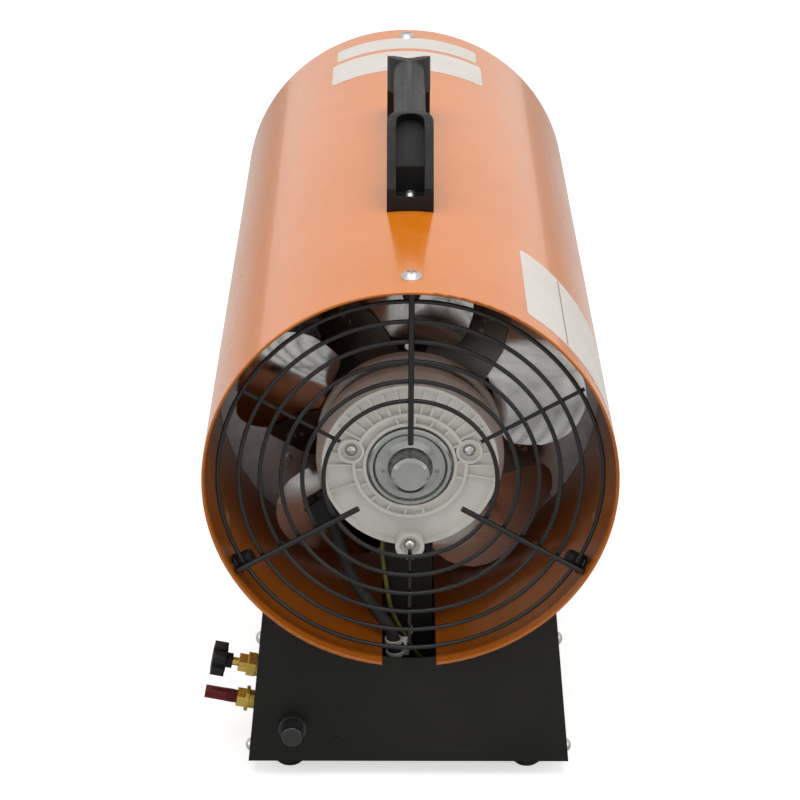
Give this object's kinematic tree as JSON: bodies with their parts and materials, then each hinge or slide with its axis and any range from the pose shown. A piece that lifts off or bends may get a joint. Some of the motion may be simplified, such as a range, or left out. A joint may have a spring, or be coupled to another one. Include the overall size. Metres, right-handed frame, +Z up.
{
  "type": "gas forced air heater",
  "caption": "Gas forced air heater: round sheet casing on a sheet base, axial fan and motor behind a wire guard, burner chamber, carrying handle, gas valve, igniter button and switch.",
  "frame": {"origin": "on the floor, under the middle of the casing's axis", "axes": "+Z up, +Y forward to the hot-air outlet, +X to the right seen from the rear"},
  "size_m": [0.2361, 0.503, 0.3565],
  "materials": {
    "orange_paint": "gloss",
    "black_paint": "satin",
    "black_wire": "satin",
    "cream_paint": "satin",
    "bright_steel": "satin",
    "zinc": "satin",
    "dark_steel": "satin",
    "lamination": "matte",
    "copper": "satin",
    "aluminium": "gloss",
    "galvanised": "satin",
    "brass": "satin",
    "black_plastic": "matte",
    "black_gloss": "gloss",
    "red_plastic": "satin",
    "foot_rubber": "matte",
    "ceramic": "gloss",
    "lead_red": "matte",
    "cream_plastic": "matte",
    "black_sleeve": "matte",
    "earth_sleeve": "satin",
    "white_plastic": "satin"
  },
  "bodies": {
    "chassis": {"casing": "orange_paint", "casing_screws": "zinc", "inlet_guard": "black_wire", "outlet_guard": "black_wire", "guard_nuts": "black_plastic", "motor_rear_bell": "cream_paint", "bearing_cap": "bright_steel", "motor_bearings": "bright_steel", "motor_stator": "lamination", "motor_windings": "copper", "motor_front_bell": "cream_paint", "motor_screws": "zinc", "motor_bracket": "black_paint", "baffle_plate": "galvanised", "combustion_chamber": "galvanised", "chamber_spacers": "zinc", "burner_plate": "galvanised", "gas_injector": "brass", "gas_pipe": "copper", "ignition_electrode": "ceramic", "hv_lead": "lead_red", "thermocouple": "copper", "overheat_thermostat": "zinc", "handle": "black_plastic", "handle_screws": "zinc", "base_tray": "black_paint", "base_rear_panel": "black_paint", "base_front_panel": "black_paint", "base_screws": "zinc", "panel_rivet": "dark_steel", "feet": "foot_rubber", "gas_valve_body": "brass", "safety_valve": "brass", "igniter_body": "black_gloss", "switch_housing": "black_plastic", "mains_gland": "black_plastic", "gland_nut": "black_plastic", "terminal_block": "cream_plastic", "conduit": "black_sleeve", "earth_wire": "earth_sleeve", "cable_clamp": "black_plastic", "cable_ties": "white_plastic"},
    "fan": {"motor_shaft": "bright_steel", "motor_rotor": "lamination", "fan_spider": "dark_steel", "fan_blades": "aluminium", "fan_rivets": "zinc", "fan_nut": "zinc"},
    "valve": {"valve_spindle": "brass", "valve_knob": "black_plastic"},
    "cap": {"inlet_cap": "red_plastic"},
    "igniter": {"igniter_button": "black_gloss"},
    "rocker": {"switch_rocker": "red_plastic"}
  },
  "joints": [
    {"name": "fan_spin", "type": "hinge", "parent": "chassis", "child": "fan", "pos_m": [0, 0, 0.1955], "axis": [0, 1, 0], "continuous": true},
    {"name": "valve_turn", "type": "hinge", "parent": "chassis", "child": "valve", "pos_m": [-0.08905, -0.205, 0.0548], "axis": [-0.9799, 0, 0.1994], "range_deg": [0, 270]},
    {"name": "igniter_press", "type": "slide", "parent": "chassis", "child": "igniter", "axis": [0, 1, 0], "range_m": [0, 0.005], "stiffness_N_per_m": 400},
    {"name": "cap_pull", "type": "slide", "parent": "chassis", "child": "cap", "axis": [-0.9799, 0, 0.1994], "range_m": [0, 0.03]},
    {"name": "switch_rock", "type": "hinge", "parent": "chassis", "child": "rocker", "pos_m": [0.08586, -0.1, 0.0466], "axis": [0, -1, 0], "range_deg": [0, 24]}
  ]
}
